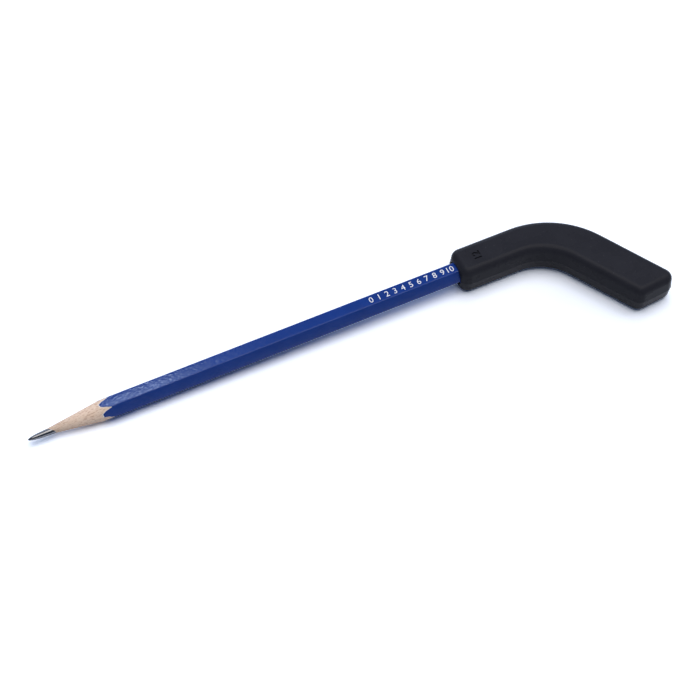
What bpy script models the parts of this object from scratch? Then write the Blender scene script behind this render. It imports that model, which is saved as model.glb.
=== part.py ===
"""Chewable pencil topper, pushed onto the butt end of a sharpened hexagonal pencil.

The pencil lies along X with its point towards -X and two of its flats level. The rubber topper lies flat,
with its underside at z = 0 and its blade bent towards -Y. The origin is under the middle of the whole
object. Lengths are in metres, +Z is up.
"""
import math

import bmesh
import bpy
from mathutils import Vector

# Pencil
PENCIL_LENGTH = 0.175
ACROSS_FLATS = 0.0070
EDGE_RADIUS = 0.0005
LACQUER_THICKNESS = 0.0001
LEAD_DIAMETER = 0.0023
LEAD_OFF_CENTRE = 0.0002
POINT_DIAMETER = 0.0003
SHARPENING_HALF_ANGLE = math.radians(7.5)

# Topper: the stem is sized by the walls round its socket
SOCKET_DEPTH = 0.021
ROOF_WALL = 0.00195
SIDE_WALL = 0.00245
SOLID_PAST_SOCKET = 0.0016
BEND_ANGLE = math.radians(60)
INNER_BEND_RADIUS = 0.0168
BLADE_WIDTH = 0.0155
BLADE_LENGTH = 0.0438
END_FACE_ANGLE = math.radians(4.5)
MOUTH_CORNER_RADIUS = 0.0038
NEAR_CORNER_RADIUS = 0.0040
FAR_CORNER_RADIUS = 0.00375
EDGE_FILLET = 0.0027
DRAFT_ANGLE = math.radians(5.5)

# Clearances between the pieces
SOCKET_CLEARANCE = 0.00008
BUTT_GAP = 0.0003
GLUE_LINE = 0.00005
PAINT_GAP = 0.00003

# Fineness of the round surfaces
OUTLINE_STEP = math.radians(5)
FILLET_STEP = math.radians(12)
EDGE_STEP = math.radians(10)
LEAD_SIDES = 32
SOCKET_SIDES = 64
SHARPENING_SIDES = 96
SMOOTH_BELOW = math.radians(25)
FINEST_RADIUS = 0.0001
CUTTER_OVERRUN = 0.002

# Sizes that follow from the ones above
HEX_CORNER_RATIO = 2 / math.sqrt(3)
PENCIL_REACH = ACROSS_FLATS / 2 * HEX_CORNER_RATIO - EDGE_RADIUS * (HEX_CORNER_RATIO - 1)
SOCKET_RADIUS = PENCIL_REACH + SOCKET_CLEARANCE
THICKNESS = 2 * (SOCKET_RADIUS + ROOF_WALL)
STEM_WIDTH = 2 * (SOCKET_RADIUS + SIDE_WALL)
OUTER_BEND_RADIUS = INNER_BEND_RADIUS + BLADE_WIDTH
BUTT_DEPTH = SOCKET_DEPTH - BUTT_GAP
CONE_SLOPE = math.tan(SHARPENING_HALF_ANGLE)


def steps(start, end, step):
    """Angles from start to end, both included, at most about one step apart."""
    count = max(2, round(abs(end - start) / step))
    return [start + (end - start) * i / count for i in range(count + 1)]


def circle(x, radius, sides, middle_y=0):
    """Ring of points round the X axis, or round a line beside it at middle_y."""
    turns = [2 * math.pi * i / sides for i in range(sides)]
    return [Vector((x, middle_y + radius * math.cos(turn), radius * math.sin(turn))) for turn in turns]


def loft(name, loops, capped=True):
    """Object of one closed body through loops of equal point count, capped, or joined last to first."""
    bm = bmesh.new()
    rings = [[bm.verts.new(point) for point in loop] for loop in loops]
    spans = list(zip(rings, rings[1:]))
    if capped:
        bm.faces.new(rings[0])
        bm.faces.new(rings[-1])
    else:
        spans.append((rings[-1], rings[0]))
    for ring, following in spans:
        for i in range(len(ring)):
            bm.faces.new((ring[i - 1], ring[i], following[i], following[i - 1]))
    bmesh.ops.recalc_face_normals(bm, faces=bm.faces)
    mesh = bpy.data.meshes.new(name)
    bm.to_mesh(mesh)
    bm.free()
    mesh.shade_smooth()
    mesh.set_sharp_from_angle(angle=SMOOTH_BELOW)
    piece = bpy.data.objects.new(name, mesh)
    bpy.context.scene.collection.objects.link(piece)
    return piece


def paint(piece, colour, roughness):
    """Give a piece its own material; colour is sRGB, 0 to 255."""
    finish = bpy.data.materials.new(piece.name + "_finish")
    finish.use_nodes = True
    shader = finish.node_tree.nodes["Principled BSDF"]
    linear = [((c / 255 + 0.055) / 1.055) ** 2.4 if c > 10 else c / 255 / 12.92 for c in colour]
    shader.inputs["Base Color"].default_value = (*linear, 1)
    shader.inputs["Roughness"].default_value = roughness
    shader.inputs["Metallic"].default_value = 0
    piece.data.materials.append(finish)


def cut(piece, cutter, operation):
    """Cut a piece with another body, which stays as a hidden guide."""
    modifier = piece.modifiers.new(cutter.name, "BOOLEAN")
    modifier.operation = operation
    modifier.object = cutter
    cutter.hide_render = True
    cutter.display_type = "WIRE"


def left_of(direction):
    """Direction a quarter turn to the left, in plan."""
    return Vector((-direction.y, direction.x))


def topper_corners():
    """Corners of the topper's plan with their radii, anticlockwise from the mouth, at the parting line."""
    half_stem = STEM_WIDTH / 2
    half_blade = BLADE_WIDTH / 2
    along = Vector((math.cos(BEND_ANGLE), -math.sin(BEND_ANGLE)))
    across = left_of(along)
    end_edge = Vector((math.cos(END_FACE_ANGLE), math.sin(END_FACE_ANGLE)))
    # The edges of stem and blade cross this far before and after their centre lines do
    shift = (half_blade - half_stem * math.cos(BEND_ANGLE)) / math.sin(BEND_ANGLE)
    bend_start = SOCKET_DEPTH + SOLID_PAST_SOCKET
    crossing = Vector((bend_start + INNER_BEND_RADIUS * math.tan(BEND_ANGLE / 2) + shift, 0))
    end_middle = crossing + along * BLADE_LENGTH
    end_reach = end_edge * (half_blade / end_edge.dot(across))
    return [
        (Vector((0, -half_stem)), MOUTH_CORNER_RADIUS),
        (crossing + Vector((-shift, -half_stem)), INNER_BEND_RADIUS),
        (end_middle - end_reach, NEAR_CORNER_RADIUS),
        (end_middle + end_reach, FAR_CORNER_RADIUS),
        (crossing + Vector((shift, half_stem)), OUTER_BEND_RADIUS),
        (Vector((0, half_stem)), MOUTH_CORNER_RADIUS),
    ]


def rounded_outline(corners, inset):
    """Plan outline with every edge moved in by inset, about the same corner centres."""
    points = []
    for i, (corner, radius) in enumerate(corners):
        before = corners[i - 1][0]
        after = corners[(i + 1) % len(corners)][0]
        arriving = (corner - before).normalized()
        leaving = (after - corner).normalized()
        turn = math.atan2(arriving.cross(leaving), arriving.dot(leaving))
        outward = math.copysign(1, turn)
        rounding = max(radius - outward * inset, FINEST_RADIUS)
        mitre = (left_of(arriving) + left_of(leaving)) / (1 + arriving.dot(leaving))
        tangent = rounding * math.tan(abs(turn) / 2)
        centre = corner + mitre * inset - arriving * tangent + left_of(arriving) * outward * rounding
        first = math.atan2(arriving.y, arriving.x) - outward * math.pi / 2
        for angle in steps(first, first + turn, OUTLINE_STEP):
            points.append(centre + rounding * Vector((math.cos(angle), math.sin(angle))))
    return points


def edge_levels():
    """Height over the parting line and inset of each level: a drafted side, then a fillet onto the face."""
    centre_height = THICKNESS / 2 - EDGE_FILLET
    tangent_height = centre_height + EDGE_FILLET * math.sin(DRAFT_ANGLE)
    centre_inset = tangent_height * math.tan(DRAFT_ANGLE) + EDGE_FILLET * math.cos(DRAFT_ANGLE)
    levels = [(0, 0)]
    for angle in steps(DRAFT_ANGLE, math.pi / 2, FILLET_STEP):
        height = centre_height + EDGE_FILLET * math.sin(angle)
        inset = centre_inset - EDGE_FILLET * math.cos(angle)
        levels.append((height, inset))
    return levels


def chew_topper(mouth):
    """Bent moulding with a blind round socket, its origin at the socket's mouth on the pencil's axis."""
    corners = topper_corners()
    upper = edge_levels()
    lower = [(-height, inset) for height, inset in upper[:0:-1]]
    loops = []
    for height, inset in lower + upper:
        loops.append([(p.x, p.y, height) for p in rounded_outline(corners, inset)])
    topper = loft("chew_topper", loops)
    topper.location = mouth
    socket = loft("socket", [
        circle(-CUTTER_OVERRUN, SOCKET_RADIUS, SOCKET_SIDES),
        circle(SOCKET_DEPTH, SOCKET_RADIUS, SOCKET_SIDES),
    ])
    socket.location = mouth
    cut(topper, socket, "DIFFERENCE")
    paint(topper, (40, 41, 48), 0.55)


def hexagon(allowance, first_turn=-math.pi / 6, last_turn=11 * math.pi / 6):
    """Section (y, z) of the pencil, inside its painted surface by allowance, over part or all of a turn."""
    radius = EDGE_RADIUS - allowance
    centre_reach = (ACROSS_FLATS / 2 - EDGE_RADIUS) * HEX_CORNER_RATIO
    points = []
    for corner in range(6):
        middle = corner * math.pi / 3
        start = max(middle - math.pi / 6, first_turn)
        end = min(middle + math.pi / 6, last_turn)
        if end > start:
            centre = centre_reach * Vector((math.cos(middle), math.sin(middle)))
            for angle in steps(start, end, EDGE_STEP):
                points.append(centre + radius * Vector((math.cos(angle), math.sin(angle))))
    return points


def sharpening_cone(point):
    """Everything that the sharpener leaves: a cone from the point, then more than the full pencil."""
    widest = PENCIL_REACH + CUTTER_OVERRUN
    cone_end = (widest - POINT_DIAMETER / 2) / CONE_SLOPE
    cone = loft("sharpening_cone", [
        circle(0, POINT_DIAMETER / 2, SHARPENING_SIDES),
        circle(cone_end, widest, SHARPENING_SIDES),
        circle(PENCIL_LENGTH + CUTTER_OVERRUN, widest, SHARPENING_SIDES),
    ])
    cone.location = point
    return cone


def graphite_core(point, cone):
    """Lead rod from the point to the butt end, a little off centre, so one side of it is bared further."""
    loops = [circle(x, LEAD_DIAMETER / 2, LEAD_SIDES, -LEAD_OFF_CENTRE) for x in (0, PENCIL_LENGTH)]
    core = loft("graphite_core", loops)
    core.location = point
    cut(core, cone, "INTERSECT")
    paint(core, (62, 63, 68), 0.35)


def wood_slat(name, point, side, cone):
    """Half of the casing: three sides of the hexagon, a glue face and a groove; side is 1 above, -1 below."""
    groove_radius = LEAD_DIAMETER / 2 + GLUE_LINE
    allowance = LACQUER_THICKNESS + PAINT_GAP
    edge_seam = math.asin(GLUE_LINE / 2 / (EDGE_RADIUS - allowance))
    groove_seam = math.asin(GLUE_LINE / 2 / groove_radius)
    section = hexagon(allowance, edge_seam, math.pi - edge_seam)
    groove_centre = Vector((-LEAD_OFF_CENTRE, 0))
    for angle in steps(math.pi - groove_seam, groove_seam, 2 * math.pi / LEAD_SIDES):
        section.append(groove_centre + groove_radius * Vector((math.cos(angle), math.sin(angle))))
    loops = []
    for x in (0, PENCIL_LENGTH):
        loops.append([(x, p.x, side * p.y) for p in section])
    slat = loft(name, loops)
    slat.location = point
    cut(slat, cone, "INTERSECT")
    paint(slat, (224, 199, 176), 0.7)


def lacquer_coat(point, cone):
    """Thin six-sided skin of paint, open at both ends."""
    outside = hexagon(0)
    inside = hexagon(LACQUER_THICKNESS)
    loops = []
    for section, x in ((outside, 0), (outside, PENCIL_LENGTH), (inside, PENCIL_LENGTH), (inside, 0)):
        loops.append([(x, p.x, p.y) for p in section])
    coat = loft("lacquer_coat", loops, capped=False)
    coat.location = point
    cut(coat, cone, "INTERSECT")
    paint(coat, (30, 56, 132), 0.25)


for leftover in list(bpy.data.objects):
    bpy.data.objects.remove(leftover)

plan = rounded_outline(topper_corners(), 0)
visible_pencil = PENCIL_LENGTH - BUTT_DEPTH
mouth_x = (visible_pencil - max(p.x for p in plan)) / 2
axis_y = -(min(p.y for p in plan) + max(p.y for p in plan)) / 2
mouth_place = Vector((mouth_x, axis_y, THICKNESS / 2))
point_place = mouth_place - Vector((visible_pencil, 0, 0))

sharpened = sharpening_cone(point_place)
graphite_core(point_place, sharpened)
wood_slat("upper_wood_slat", point_place, 1, sharpened)
wood_slat("lower_wood_slat", point_place, -1, sharpened)
lacquer_coat(point_place, sharpened)
chew_topper(mouth_place)
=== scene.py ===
"""Looks of a chewable pencil topper on its pencil, in metres: pieces, materials, floor, light and camera."""
import math

import bmesh
import bpy
from mathutils import Matrix, Vector, noise


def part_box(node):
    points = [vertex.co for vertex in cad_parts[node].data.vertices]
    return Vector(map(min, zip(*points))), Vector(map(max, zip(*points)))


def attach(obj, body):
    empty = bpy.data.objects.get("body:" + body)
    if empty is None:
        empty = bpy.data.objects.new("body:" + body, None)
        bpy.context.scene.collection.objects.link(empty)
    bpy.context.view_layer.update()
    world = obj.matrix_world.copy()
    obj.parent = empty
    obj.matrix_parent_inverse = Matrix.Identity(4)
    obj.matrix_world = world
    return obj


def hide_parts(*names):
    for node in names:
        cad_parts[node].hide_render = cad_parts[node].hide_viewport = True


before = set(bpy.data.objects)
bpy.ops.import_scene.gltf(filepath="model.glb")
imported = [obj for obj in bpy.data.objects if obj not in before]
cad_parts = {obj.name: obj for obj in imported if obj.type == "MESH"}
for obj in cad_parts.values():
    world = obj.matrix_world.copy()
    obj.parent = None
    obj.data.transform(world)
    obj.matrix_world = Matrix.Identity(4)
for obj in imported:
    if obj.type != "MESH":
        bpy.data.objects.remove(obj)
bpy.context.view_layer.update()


# Lead: a fired rod of graphite and clay, glued into the casing a little off its middle. Sharpening and some
# writing have worn its front to a dark burnished nose, fuller than the wood's cone and ringed by the blade.
lead_low, lead_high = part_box("graphite_core")
paint_low, paint_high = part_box("lacquer_coat")
point_x = lead_low.x
butt_x = lead_high.x
axis_y = (paint_low.y + paint_high.y) / 2
axis_z = (paint_low.z + paint_high.z) / 2
lead_y = (lead_low.y + lead_high.y) / 2
lead_radius = (lead_high.z - lead_low.z) / 2
lead_sides = 96
nose_length = 0.0084
nose_steps = 24
merge_distance = 1e-7


def spin_round(bm, middle, sides):
    """Spin a profile right round a line along the pencil into a closed body."""
    bmesh.ops.spin(bm, geom=bm.verts[:] + bm.edges[:], cent=middle, axis=(1, 0, 0), angle=2 * math.pi,
                   steps=sides, use_merge=True)
    bmesh.ops.remove_doubles(bm, verts=bm.verts, dist=merge_distance)
    bmesh.ops.recalc_face_normals(bm, faces=bm.faces)


def turned(outline, y, sides):
    """Body turned about a line along the pencil from an outline of places along it and radii."""
    bm = bmesh.new()
    points = [bm.verts.new((x, y, axis_z + radius)) for x, radius in outline]
    for first, second in zip(points, points[1:]):
        bm.edges.new((first, second))
    spin_round(bm, (0, y, axis_z), sides)
    return bm


def add_piece(bm, name):
    """Put a finished bmesh into the scene as an object at the origin."""
    mesh = bpy.data.meshes.new(name)
    bm.to_mesh(mesh)
    bm.free()
    piece = bpy.data.objects.new(name, mesh)
    bpy.context.scene.collection.objects.link(piece)
    return piece


def settle(piece):
    """Work a piece's modifiers into its mesh."""
    bpy.context.view_layer.update()
    worked = piece.evaluated_get(bpy.context.evaluated_depsgraph_get())
    piece.data = bpy.data.meshes.new_from_object(worked)
    piece.modifiers.clear()


def smooth(piece, sharp_from):
    """Shade a piece smooth, with crisp edges from an angle in degrees up and the large faces kept flat."""
    piece.data.shade_smooth()
    piece.data.set_sharp_from_angle(angle=math.radians(sharp_from))
    weighting = piece.modifiers.new("weighting", "WEIGHTED_NORMAL")
    weighting.keep_sharp = True
    settle(piece)


def linear(srgb):
    """Linear colour of an sRGB hex value."""
    shares = [int(srgb[i:i + 2], 16) / 255 for i in (1, 3, 5)]
    return (*[((share + 0.055) / 1.055) ** 2.4 if share > 0.04045 else share / 12.92 for share in shares], 1)


def node(tree, kind, sockets=None, **settings):
    """Add a node with its settings; each socket that is named gets a value or a link."""
    added = tree.nodes.new("ShaderNode" + kind)
    for name, value in settings.items():
        setattr(added, name, value)
    for name, value in (sockets or {}).items():
        if isinstance(value, bpy.types.NodeSocket):
            tree.links.new(value, added.inputs[name])
        else:
            added.inputs[name].default_value = value
    return added


def new_material(name):
    """A material with an empty node tree."""
    material = bpy.data.materials.new(name)
    material.use_nodes = True
    material.node_tree.nodes.clear()
    return material


# Burnished graphite: dark grey with a metallic sheen, drawn out into a streak by the rings the blade leaves
graphite = new_material("burnished_graphite")
tree = graphite.node_tree
place = node(tree, "TexCoord").outputs["Object"]
ring_spacing = 0.00016
ring_run = 0.0015
ring_depth = 0.00002
patch_size = 0.0009
ring_place = node(tree, "Mapping", {"Vector": place, "Scale": (1 / ring_spacing, 1 / ring_run, 1 / ring_run)})
rings = node(tree, "TexNoise", {"Vector": ring_place.outputs[0], "Scale": 1.0, "Detail": 3.0})
patches = node(tree, "TexNoise", {"Vector": place, "Scale": 1 / patch_size, "Detail": 4.0})
lead_colour = node(tree, "Mix", {0: patches.outputs["Fac"], 6: linear("#67686c"), 7: linear("#858689")},
                   data_type="RGBA")
lead_gloss = node(tree, "MapRange", {"Value": rings.outputs["Fac"], "To Min": 0.1, "To Max": 0.2})
lead_relief = node(tree, "Bump", {"Height": rings.outputs["Fac"], "Strength": 0.25, "Distance": ring_depth})
shader = node(tree, "BsdfPrincipled", {"Base Color": lead_colour.outputs[2], "Metallic": 0.95,
                                       "Specular Tint": linear("#4a4a4c"), "Roughness": lead_gloss.outputs[0],
                                       "Normal": lead_relief.outputs[0]})
node(tree, "OutputMaterial", {"Surface": shader.outputs[0]})

turns = [math.pi / 2 * step / nose_steps for step in range(nose_steps + 1)]
nose = [(point_x + nose_length * (1 - math.cos(turn)), lead_radius * math.sin(turn)) for turn in turns]
lead = add_piece(turned(nose + [(butt_x, lead_radius), (butt_x, 0)], lead_y, lead_sides), "ground_lead")
smooth(lead, sharp_from=25)
lead.data.materials.append(graphite)
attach(lead, "pencil")
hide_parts("graphite_core")


# Casing: two grooved slats of basswood glued round the lead, so that the joint is a hair line on the cone.
# They are planed to six barely crowned flats, and the sharpener shaves them to a pale cone, on which the
# fibres, cut at a low angle, show as short flecks.
across_flats = paint_high.z - paint_low.z
pencil_reach = (paint_high.y - paint_low.y) / 2
half_flat = across_flats / 2 / math.sqrt(3)
edge_radius = (across_flats / math.sqrt(3) - pencil_reach) / (2 / math.sqrt(3) - 1)
edge_steps = 8
flat_crown = 0.000018
crown_cuts = 9
paint_thickness = 0.0001
groove_room = 0.00001
glue_joint = 0.00001
sharpening_half_angle = math.radians(7.5)
point_radius = 0.00015
cone_sides = 240
cutter_overrun = 0.002
upright = Matrix.Rotation(-math.pi / 2, 4, "Y")


def draw_out(bm, way):
    """Pull a flat section along a vector into a closed solid."""
    pulled = bmesh.ops.extrude_face_region(bm, geom=bm.faces[:])
    moved = [part for part in pulled["geom"] if isinstance(part, bmesh.types.BMVert)]
    bmesh.ops.translate(bm, verts=moved, vec=way)
    bmesh.ops.recalc_face_normals(bm, faces=bm.faces)


def cut(piece, cutter, operation):
    """Cut a piece with another body."""
    boolean = piece.modifiers.new("cut", "BOOLEAN")
    boolean.operation = operation
    boolean.object = cutter
    settle(piece)


def sharpened_form(name, raggedness=0.0, ragged_length=1.0):
    """Body that the sharpener leaves of a bar: a cone, which may waver along the bar, then the whole bar."""
    slope = math.tan(sharpening_half_angle)
    widest = pencil_reach + cutter_overrun
    apex_x = point_x - point_radius / slope
    end_x = butt_x + cutter_overrun
    outline = [(apex_x, 0), (apex_x + widest / slope, widest), (end_x, widest), (end_x, 0)]
    bm = turned(outline, axis_y, cone_sides)
    if raggedness:
        for vertex in bm.verts:
            around = Vector((0, vertex.co.y - axis_y, vertex.co.z - axis_z)).normalized()
            vertex.co.x += raggedness * noise.noise(around * pencil_reach / ragged_length)
    return add_piece(bm, name)


def crown_drop(from_middle):
    """How far a crowned flat has fallen away at a distance from its middle."""
    return flat_crown * (from_middle / half_flat) ** 2


def hexagon(bm, inside_by):
    """Six-sided section at the point, inside the paint by a distance, with crowned flats and round edges."""
    middle = Vector((point_x, axis_y, axis_z))
    half_across = across_flats / 2 - inside_by
    bmesh.ops.create_circle(bm, cap_ends=True, segments=6, radius=half_across * 2 / math.sqrt(3),
                            matrix=Matrix.Translation(middle) @ upright)
    rounding = (edge_radius - inside_by) * math.tan(math.pi / 6)
    bmesh.ops.bevel(bm, geom=bm.verts[:], affect="VERTICES", offset=rounding, offset_type="ABSOLUTE",
                    segments=edge_steps, profile=0.5, material=-1)
    flats = [edge for edge in bm.edges if edge.calc_length() > half_flat]
    bmesh.ops.subdivide_edges(bm, edges=flats, cuts=crown_cuts)
    for vertex in bm.verts:
        out = vertex.co - middle
        from_middle = math.sqrt(max(0, out.length_squared - half_across ** 2))
        vertex.co -= out.normalized() * crown_drop(from_middle)


# Basswood, cut and left bare: pale pinkish straw, matt, with tan pores and a smudge of graphite dust next
# to the lead. Its fibres, along the pencil, are drawn wider than life so that they show.
basswood = new_material("shaved_basswood")
tree = basswood.node_tree
place = node(tree, "TexCoord").outputs["Object"]
fibre_length = 0.005
fibre_width = 0.00022
fibre_depth = 0.00006
fleck_length = 0.0012
fleck_width = 0.0004
tint_size = 0.003
smudge_start = point_x + nose_length
smudge_reach = 0.01
fibre_place = node(tree, "Mapping",
                   {"Vector": place, "Scale": (1 / fibre_length, 1 / fibre_width, 1 / fibre_width)})
fibres = node(tree, "TexNoise", {"Vector": fibre_place.outputs[0], "Scale": 1.0, "Detail": 5.0,
                                 "Roughness": 0.6})
fleck_place = node(tree, "Mapping",
                   {"Vector": place, "Scale": (1 / fleck_length, 1 / fleck_width, 1 / fleck_width)})
flecks = node(tree, "TexNoise", {"Vector": fleck_place.outputs[0], "Scale": 1.0, "Detail": 2.0})
fleck_share = node(tree, "MapRange", {"Value": flecks.outputs["Fac"], "From Min": 0.5, "From Max": 0.68,
                                      "To Max": 0.62})
tints = node(tree, "TexNoise", {"Vector": place, "Scale": 1 / tint_size, "Detail": 3.0})
wood_tint = node(tree, "Mix", {0: tints.outputs["Fac"], 6: linear("#f4e5d6"), 7: linear("#f3d4bc")},
                 data_type="RGBA")
fibre_share = node(tree, "MapRange", {"Value": fibres.outputs["Fac"], "From Min": 0.35, "From Max": 0.75})
wood_fibred = node(tree, "Mix", {0: fibre_share.outputs[0], 6: wood_tint.outputs[2], 7: linear("#e9ccb3")},
                   data_type="RGBA")
wood_colour = node(tree, "Mix", {0: fleck_share.outputs[0], 6: wood_fibred.outputs[2], 7: linear("#b98d70")},
                   data_type="RGBA")
along_pencil = node(tree, "SeparateXYZ", {"Vector": place}).outputs["X"]
smudge_share = node(tree, "MapRange", {"Value": along_pencil, "From Min": smudge_start,
                                       "From Max": smudge_start + smudge_reach, "To Min": 0.3, "To Max": 0.0})
wood_smudged = node(tree, "Mix", {0: smudge_share.outputs[0], 6: wood_colour.outputs[2],
                                  7: linear("#9c8672")}, data_type="RGBA")
wood_relief = node(tree, "Bump", {"Height": fibres.outputs["Fac"], "Strength": 0.5, "Distance": fibre_depth})
shader = node(tree, "BsdfPrincipled", {"Base Color": wood_smudged.outputs[2], "Roughness": 0.78,
                                       "Normal": wood_relief.outputs[0]})
node(tree, "OutputMaterial", {"Surface": shader.outputs[0]})

bm = bmesh.new()
groove_place = Matrix.Translation((point_x - cutter_overrun, lead_y, axis_z)) @ upright
bmesh.ops.create_circle(bm, cap_ends=True, segments=lead_sides, radius=lead_radius + groove_room,
                        matrix=groove_place)
draw_out(bm, (butt_x - point_x + 2 * cutter_overrun, 0, 0))
groove = add_piece(bm, "groove")
sharpened = sharpened_form("sharpened_form")

for name, node_name, side in (("upper_slat", "upper_wood_slat", 1), ("lower_slat", "lower_wood_slat", -1)):
    bm = bmesh.new()
    hexagon(bm, paint_thickness)
    joint = Vector((point_x, axis_y, axis_z + side * glue_joint / 2))
    bmesh.ops.bisect_plane(bm, geom=bm.verts[:] + bm.edges[:] + bm.faces[:], dist=merge_distance,
                           plane_co=joint, plane_no=(0, 0, side), clear_inner=True)
    draw_out(bm, (butt_x - point_x, 0, 0))
    slat = add_piece(bm, name)
    cut(slat, groove, "DIFFERENCE")
    cut(slat, sharpened, "INTERSECT")
    smooth(slat, sharp_from=12)
    slat.data.materials.append(basswood)
    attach(slat, "pencil")
    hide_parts(node_name)
bpy.data.objects.remove(groove)
bpy.data.objects.remove(sharpened)


# Paint: the pencil is drawn through a white priming coat and then several coats of blue lacquer. The
# sharpener cuts both to a scallop on each flat, a little ragged where the lacquer chips, with the primer
# showing as a pale rim.
lacquer_thickness = 0.00006
primer_thickness = paint_thickness - lacquer_thickness
chip_depth = 0.0012
chip_length = 0.0005


def paint_coat(name, inside_by, thickness, material):
    """Skin round the casing, inside the finished surface by a distance, cut to ragged scallops in front."""
    bm = bmesh.new()
    hexagon(bm, inside_by)
    section = bm.faces[:]
    bmesh.ops.inset_region(bm, faces=section, thickness=thickness, use_even_offset=True, use_boundary=True)
    bmesh.ops.delete(bm, geom=section, context="FACES")
    draw_out(bm, (butt_x - point_x, 0, 0))
    coat = add_piece(bm, name)
    chipped = sharpened_form("chipped_form", chip_depth, chip_length)
    cut(coat, chipped, "INTERSECT")
    bpy.data.objects.remove(chipped)
    smooth(coat, sharp_from=12)
    coat.data.materials.append(material)
    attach(coat, "pencil")
    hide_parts("lacquer_coat")


# Priming coat: matt white filler, a little cloudy
primer = new_material("white_primer")
tree = primer.node_tree
place = node(tree, "TexCoord").outputs["Object"]
filler_size = 0.0004
filler = node(tree, "TexNoise", {"Vector": place, "Scale": 1 / filler_size, "Detail": 3.0})
primer_colour = node(tree, "Mix", {0: filler.outputs["Fac"], 6: linear("#d9dbe0"), 7: linear("#f2efe9")},
                     data_type="RGBA")
shader = node(tree, "BsdfPrincipled", {"Base Color": primer_colour.outputs[2], "Roughness": 0.6})
node(tree, "OutputMaterial", {"Surface": shader.outputs[0]})

# Nitrocellulose lacquer, drawn on wet: strong blue, with a soft shine that small ripples, like orange peel,
# and spots dulled by handling break into grain. Both are drawn coarser than life so that they show.
lacquer = new_material("drawn_blue_lacquer")
tree = lacquer.node_tree
place = node(tree, "TexCoord").outputs["Object"]
ripple_length = 0.0009
ripple_width = 0.0007
ripple_depth = 0.000024
dull_length = 0.0007
dull_width = 0.0006
tone_size = 0.006
ripple_place = node(tree, "Mapping",
                    {"Vector": place, "Scale": (1 / ripple_length, 1 / ripple_width, 1 / ripple_width)})
ripples = node(tree, "TexNoise", {"Vector": ripple_place.outputs[0], "Scale": 1.0, "Detail": 0.0})
dull_place = node(tree, "Mapping",
                  {"Vector": place, "Scale": (1 / dull_length, 1 / dull_width, 1 / dull_width)})
dull_spots = node(tree, "TexNoise", {"Vector": dull_place.outputs[0], "Scale": 1.0, "Detail": 4.0})
tones = node(tree, "TexNoise", {"Vector": place, "Scale": 1 / tone_size, "Detail": 2.0})
lacquer_colour = node(tree, "Mix", {0: tones.outputs["Fac"], 6: linear("#16357e"), 7: linear("#183d8f")},
                      data_type="RGBA")
lacquer_gloss = node(tree, "MapRange", {"Value": dull_spots.outputs["Fac"], "From Min": 0.4, "From Max": 0.62,
                                        "To Min": 0.13, "To Max": 0.21})
lacquer_relief = node(tree, "Bump", {"Height": ripples.outputs["Fac"], "Strength": 1.0,
                                     "Distance": ripple_depth})
shader = node(tree, "BsdfPrincipled", {"Base Color": lacquer_colour.outputs[2], "IOR": 1.33,
                                       "Roughness": lacquer_gloss.outputs[0],
                                       "Normal": lacquer_relief.outputs[0]})
node(tree, "OutputMaterial", {"Surface": shader.outputs[0]})

paint_coat("primer_coat", inside_by=lacquer_thickness, thickness=primer_thickness, material=primer)
paint_coat("blue_coat", inside_by=0, thickness=lacquer_thickness, material=lacquer)


# Number line: plain white figures from 0 to 10 on the pencil's upper flat, hot-stamped through a pigment
# foil, which leaves them a hair proud of the lacquer and thin in places.
figure_height = 0.0022
figure_merge_distance = 1e-5
foil_thickness = 0.000012
line_start = 0.1225
line_end = 0.1525
last_number = 10


def add_figures(bm, text, height, boldness, depth, place):
    """Add a text's figures to a bmesh as flat solids, centred on a place and standing up from it."""
    outline = bpy.data.curves.new("figures", "FONT")
    outline.body = text
    outline.size = 1
    outline.offset = boldness
    carrier = bpy.data.objects.new("figures", outline)
    bpy.context.scene.collection.objects.link(carrier)
    settled = bpy.data.meshes.new_from_object(carrier.evaluated_get(bpy.context.evaluated_depsgraph_get()))
    figures = bmesh.new()
    figures.from_mesh(settled)
    bpy.data.objects.remove(carrier)
    bmesh.ops.remove_doubles(figures, verts=figures.verts, dist=figure_merge_distance)
    low = Vector((min(v.co.x for v in figures.verts), min(v.co.y for v in figures.verts), 0))
    high = Vector((max(v.co.x for v in figures.verts), max(v.co.y for v in figures.verts), 0))
    scale = height / (high.y - low.y)
    bmesh.ops.translate(figures, verts=figures.verts, vec=-(low + high) / 2)
    bmesh.ops.scale(figures, verts=figures.verts, vec=(scale, scale, scale))
    draw_out(figures, (0, 0, depth))
    bmesh.ops.transform(figures, verts=figures.verts, matrix=place)
    shape = bpy.data.meshes.new("figures")
    figures.to_mesh(shape)
    figures.free()
    bm.from_mesh(shape)


# White pigment foil: opaque and satin, with pinholes where the stamp printed thin
foil = new_material("white_stamping_foil")
tree = foil.node_tree
place = node(tree, "TexCoord").outputs["Object"]
pinhole_size = 0.00025
pinholes = node(tree, "TexNoise", {"Vector": place, "Scale": 1 / pinhole_size, "Detail": 3.0})
pinhole_share = node(tree, "MapRange", {"Value": pinholes.outputs["Fac"], "From Min": 0.62, "From Max": 0.72,
                                        "To Max": 0.5})
foil_colour = node(tree, "Mix", {0: pinhole_share.outputs[0], 6: linear("#eef0f5"), 7: linear("#5f76b4")},
                   data_type="RGBA")
shader = node(tree, "BsdfPrincipled", {"Base Color": foil_colour.outputs[2], "Roughness": 0.45})
node(tree, "OutputMaterial", {"Surface": shader.outputs[0]})

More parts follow.
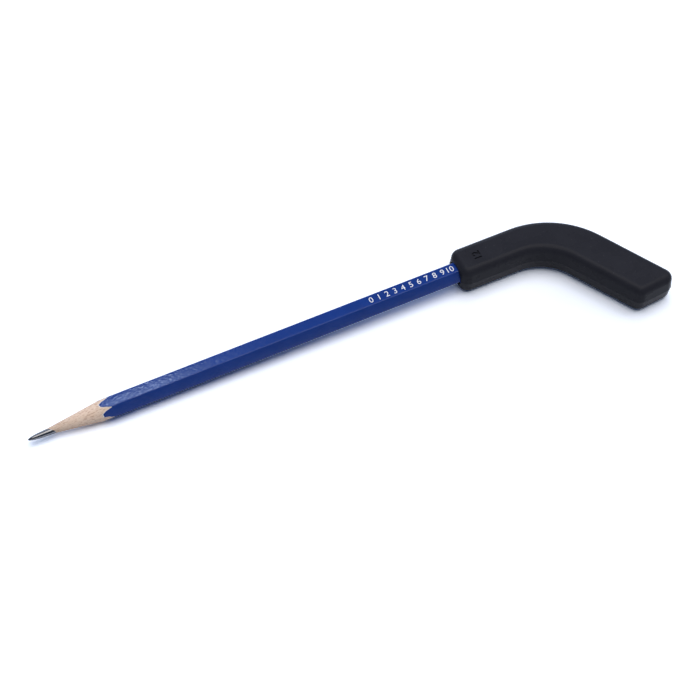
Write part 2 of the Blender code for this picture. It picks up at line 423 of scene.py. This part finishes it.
bm = bmesh.new()
for number in range(last_number + 1):
    figure_x = point_x + line_start + (line_end - line_start) * number / last_number
    figure_place = Matrix.Translation((figure_x, axis_y, paint_high.z))
    add_figures(bm, str(number), figure_height, boldness=0.0, depth=foil_thickness, place=figure_place)
for vertex in bm.verts:
    vertex.co.z -= crown_drop(vertex.co.y - axis_y)
number_line = add_piece(bm, "number_line")
number_line.data.materials.append(foil)
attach(number_line, "pencil")


# Chew topper: one moulding of firm food-grade rubber, drafted both ways from the parting line round its
# middle, where the mould leaves a fine flash. It is pushed over the pencil's end, and its round socket
# grips by stretching.
topper_low, topper_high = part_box("chew_topper")
parting_z = (topper_low.z + topper_high.z) / 2
half_thickness = (topper_high.z - topper_low.z) / 2
half_stem = topper_high.y - axis_y
socket_depth = 0.021
socket_clearance = 0.00008
socket_radius = pencil_reach + socket_clearance
socket_sides = 128
butt_gap = 0.0003
mouth_x = butt_x - (socket_depth - butt_gap)
solid_past_socket = 0.0016
bend_angle = math.radians(60)
inner_bend_radius = 0.0168
blade_width = 0.0155
blade_length = 0.0438
end_face_angle = math.radians(4.5)
mouth_corner_radius = 0.0038
near_corner_radius = 0.0040
far_corner_radius = 0.00375
arc_step = math.radians(2)
least_arc_steps = 8
edge_fillet = 0.0027
fillet_steps = 16
draft_angle = math.radians(5.5)
flash_proud = 0.00005
flash_height = 0.00007
lip_radius = 0.0004
lip_steps = 6
mark_text = "12"
mark_height = 0.0028
mark_boldness = 0.02
mark_depth = 0.0005
mark_past_mouth = 0.0082


def topper_plan(bm):
    """Face of the topper's outline at the parting line, with the socket's mouth at the origin."""
    along = Vector((math.cos(bend_angle), -math.sin(bend_angle), 0))
    end_edge = Vector((math.cos(end_face_angle), math.sin(end_face_angle), 0))
    shift = (blade_width / 2 - half_stem * math.cos(bend_angle)) / math.sin(bend_angle)
    bend_start = socket_depth + solid_past_socket
    crossing = Vector((bend_start + inner_bend_radius * math.tan(bend_angle / 2) + shift, 0, 0))
    end_middle = crossing + along * blade_length
    end_reach = end_edge * (blade_width / 2 / math.sin(bend_angle + end_face_angle))
    corners = [
        (Vector((0, -half_stem, 0)), mouth_corner_radius),
        (crossing + Vector((-shift, -half_stem, 0)), inner_bend_radius),
        (end_middle - end_reach, near_corner_radius),
        (end_middle + end_reach, far_corner_radius),
        (crossing + Vector((shift, half_stem, 0)), inner_bend_radius + blade_width),
        (Vector((0, half_stem, 0)), mouth_corner_radius),
    ]
    pen = None
    for i, (corner, radius) in enumerate(corners):
        arriving = (corner - corners[i - 1][0]).normalized()
        leaving = (corners[(i + 1) % len(corners)][0] - corner).normalized()
        turn = math.atan2(arriving.cross(leaving).z, arriving.dot(leaving))
        side = Vector((-arriving.y, arriving.x, 0)) * math.copysign(radius, turn)
        start = bm.verts.new(corner - arriving * radius * math.tan(abs(turn) / 2))
        if pen:
            bm.edges.new((pen, start))
        steps = max(least_arc_steps, round(abs(turn) / arc_step))
        arc = bmesh.ops.spin(bm, geom=[start], cent=start.co + side, axis=(0, 0, 1), angle=turn, steps=steps)
        pen = arc["geom_last"][0]
    bm.verts.ensure_lookup_table()
    bm.edges.new((pen, bm.verts[0]))
    bmesh.ops.edgeloop_fill(bm, edges=bm.edges[:])
    bmesh.ops.recalc_face_normals(bm, faces=bm.faces)


# Thermoplastic rubber from a blasted mould: charcoal with a cool tint, matt with a slight sheen, and a little
# dusty. Its fine grain is drawn coarser than life so that it shows.
rubber = new_material("moulded_black_rubber")
tree = rubber.node_tree
place = node(tree, "TexCoord").outputs["Object"]
grain_size = 0.00035
grain_depth = 0.00006
bloom_size = 0.007
dust_size = 0.00045
grain = node(tree, "TexNoise", {"Vector": place, "Scale": 1 / grain_size, "Detail": 4.0, "Roughness": 0.6})
bloom = node(tree, "TexNoise", {"Vector": place, "Scale": 1 / bloom_size, "Detail": 4.0})
rubber_tint = node(tree, "Mix", {0: bloom.outputs["Fac"], 6: linear("#27282e"), 7: linear("#2e2f36")},
                   data_type="RGBA")
dust = node(tree, "TexNoise", {"Vector": place, "Scale": 1 / dust_size, "Detail": 1.0})
dust_share = node(tree, "MapRange", {"Value": dust.outputs["Fac"], "From Min": 0.72, "From Max": 0.8,
                                     "To Max": 0.25})
rubber_colour = node(tree, "Mix", {0: dust_share.outputs[0], 6: rubber_tint.outputs[2], 7: linear("#6b6a70")},
                     data_type="RGBA")
rubber_gloss = node(tree, "MapRange", {"Value": bloom.outputs["Fac"], "From Min": 0.3, "From Max": 0.7,
                                       "To Min": 0.24, "To Max": 0.32})
rubber_relief = node(tree, "Bump", {"Height": grain.outputs["Fac"], "Strength": 0.18,
                                    "Distance": grain_depth})
shader = node(tree, "BsdfPrincipled", {"Base Color": rubber_colour.outputs[2], "Specular IOR Level": 0.05,
                                       "Roughness": rubber_gloss.outputs[0],
                                       "Normal": rubber_relief.outputs[0]})
node(tree, "OutputMaterial", {"Surface": shader.outputs[0]})

bm = bmesh.new()
topper_plan(bm)
upper_face = bm.faces[:]
bmesh.ops.inset_region(bm, faces=upper_face, thickness=flash_proud, depth=flash_height, use_even_offset=True,
                       use_boundary=True)
wall_height = half_thickness - flash_height
bmesh.ops.inset_region(bm, faces=upper_face, thickness=wall_height * math.tan(draft_angle), depth=wall_height,
                       use_even_offset=True, use_boundary=True)
fillet_reach = edge_fillet * math.tan((math.pi / 2 - draft_angle) / 2)
bmesh.ops.bevel(bm, geom=upper_face[0].edges[:], affect="EDGES", offset=fillet_reach, offset_type="OFFSET",
                segments=fillet_steps, profile=0.5, material=-1)
bmesh.ops.mirror(bm, geom=bm.verts[:] + bm.edges[:] + bm.faces[:], matrix=Matrix.Identity(4),
                 merge_dist=merge_distance, axis="Z")
bmesh.ops.recalc_face_normals(bm, faces=bm.faces)
bmesh.ops.translate(bm, verts=bm.verts, vec=(mouth_x, axis_y, parting_z))
topper = add_piece(bm, "moulded_topper")

bm = bmesh.new()
bottom = bm.verts.new((mouth_x + socket_depth, axis_y, parting_z))
bottom_edge = bm.verts.new((mouth_x + socket_depth, axis_y, parting_z + socket_radius))
lip_inside = bm.verts.new((mouth_x + lip_radius, axis_y, parting_z + socket_radius))
bm.edges.new((bottom, bottom_edge))
bm.edges.new((bottom_edge, lip_inside))
lip_middle = (mouth_x + lip_radius, axis_y, parting_z + socket_radius + lip_radius)
lip = bmesh.ops.spin(bm, geom=[lip_inside], cent=lip_middle, axis=(0, 1, 0), angle=math.pi / 2,
                     steps=lip_steps)
lip_outside = lip["geom_last"][0]
beyond = bm.verts.new(lip_outside.co - Vector((cutter_overrun, 0, 0)))
outside_middle = bm.verts.new((beyond.co.x, axis_y, parting_z))
bm.edges.new((lip_outside, beyond))
bm.edges.new((beyond, outside_middle))
spin_round(bm, (mouth_x, axis_y, parting_z), socket_sides)
socket = add_piece(bm, "socket")
cut(topper, socket, "DIFFERENCE")
bpy.data.objects.remove(socket)

bm = bmesh.new()
mark_place = Matrix.Translation((mouth_x + mark_past_mouth, axis_y, topper_high.z - mark_depth))
mark_place = mark_place @ Matrix.Rotation(math.pi / 2, 4, "Z")
add_figures(bm, mark_text, mark_height, boldness=mark_boldness, depth=2 * mark_depth, place=mark_place)
mark = add_piece(bm, "mould_mark")
cut(topper, mark, "DIFFERENCE")
bpy.data.objects.remove(mark)

smooth(topper, sharp_from=9)
topper.data.materials.append(rubber)
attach(topper, "topper")
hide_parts("chew_topper")


# Floor: a wide sheet of white card that keeps the soft, cool shadow. The pencil's weight tips the object onto
# three points: the pencil's underside where its cone begins, and two corners of the topper.
floor_size = 60.0
floor_drop = 0.00002
level_tolerance = 1e-6

# Uncoated white card: matt, with faint clouds of pulp. The camera and reflections are shown it brighter and
# slightly cool, so that it reads as white, and the light that it throws back on the object stays plain.
card = new_material("white_card")
tree = card.node_tree
place = node(tree, "TexCoord").outputs["Object"]
pulp_size = 0.02
pulp = node(tree, "TexNoise", {"Vector": place, "Scale": 1 / pulp_size, "Detail": 2.0})
card_colour = node(tree, "Mix", {0: pulp.outputs["Fac"], 6: linear("#d8d8d8"), 7: linear("#dedede")},
                   data_type="RGBA")
plain_card = node(tree, "BsdfDiffuse", {"Color": card_colour.outputs[2]})
bright_card = node(tree, "BsdfDiffuse", {"Color": (1.24, 1.32, 1.45, 1)})
ray = node(tree, "LightPath").outputs
seen = node(tree, "Math", {0: ray["Is Camera Ray"], 1: ray["Is Glossy Ray"]}, operation="ADD")
shown = node(tree, "Math", {0: seen.outputs[0], 1: ray["Is Transmission Ray"]}, operation="ADD")
surface = node(tree, "MixShader", {0: shown.outputs[0], 1: plain_card.outputs[0], 2: bright_card.outputs[0]})
node(tree, "OutputMaterial", {"Surface": surface.outputs[0]})

cone_length = (across_flats / 2 - point_radius) / math.tan(sharpening_half_angle)
underside = [vertex.co for vertex in topper.data.vertices if vertex.co.z < topper_low.z + level_tolerance]
pencil_rest = Vector((point_x + cone_length, axis_y, paint_low.z))
mouth_rest = min(underside, key=lambda corner: corner.x + corner.y)
blade_rest = min(underside, key=lambda corner: corner.y)
upwards = (mouth_rest - pencil_rest).cross(blade_rest - pencil_rest)
upwards *= math.copysign(1, upwards.z)
bm = bmesh.new()
bmesh.ops.create_grid(bm, x_segments=1, y_segments=1, size=floor_size / 2)
bmesh.ops.transform(bm, verts=bm.verts, matrix=upwards.to_track_quat("Z", "Y").to_matrix().to_4x4())
bmesh.ops.translate(bm, verts=bm.verts, vec=mouth_rest - upwards.normalized() * floor_drop)
floor = add_piece(bm, "floor")
floor.data.materials.append(card)


# Light: a large softbox overhead, one on the right, and a low wide one behind that lights the floor under the
# pencil. A small bright window, high up behind, gives the sheen on the upper flat near the point, and a dim,
# cool room fills the shadows.
def softbox(name, place, target, width, height, radiance, colour):
    """Rectangular lamp at a place, turned to a target, of an even brightness over its face."""
    lamp = bpy.data.lights.new(name, "AREA")
    lamp.shape = "RECTANGLE"
    lamp.size = width
    lamp.size_y = height
    lamp.energy = radiance * math.pi * width * height
    lamp.color = linear(colour)[:3]
    holder = bpy.data.objects.new(name, lamp)
    holder.location = place
    holder.rotation_euler = (Vector(target) - Vector(place)).to_track_quat("-Z", "Y").to_euler()
    bpy.context.scene.collection.objects.link(holder)


softbox("overhead_softbox", place=(0.4, 0.1, 5.0), target=(0.4, 0.1, 0.0), width=4.6, height=4.4,
        radiance=3.1, colour="#fff9f2")
softbox("window", place=(0.47, 2.552, 4.287), target=(0.0, 0.0, 0.0), width=0.2, height=0.3,
        radiance=46.0, colour="#d0e4ff")
softbox("right_softbox", place=(3.4, 0.2, 3.5), target=(0.0, 0.0, 0.0), width=3.5, height=3.0,
        radiance=1.3, colour="#ffffff")
softbox("back_softbox", place=(0.5, 4.0, 1.7), target=(0.0, 0.0, 0.0), width=4.0, height=1.6,
        radiance=3.0, colour="#dce8ff")

room = bpy.data.worlds.new("cool_room")
room.use_nodes = True
tree = room.node_tree
tree.nodes.clear()
fill = node(tree, "Background", {"Color": linear("#b5d0ff"), "Strength": 0.17})
node(tree, "OutputWorld", {"Surface": fill.outputs[0]})
bpy.context.scene.world = room


# Camera: above and in front, to the left of the topper's mouth, with a short telephoto lens, as close as the
# photograph's perspective asks.
camera_azimuth = math.radians(-25.32)
camera_elevation = math.radians(56.57)
camera_place = Vector((-0.13058, -0.26849, 0.46233))
view = bpy.data.cameras.new("camera")
view.sensor_width = 36
view.lens = 84.84
camera = bpy.data.objects.new("camera", view)
camera.location = camera_place
camera.rotation_euler = (math.pi / 2 - camera_elevation, 0, camera_azimuth)
bpy.context.scene.collection.objects.link(camera)
bpy.context.scene.camera = camera
bpy.context.scene.view_settings.view_transform = "Standard"
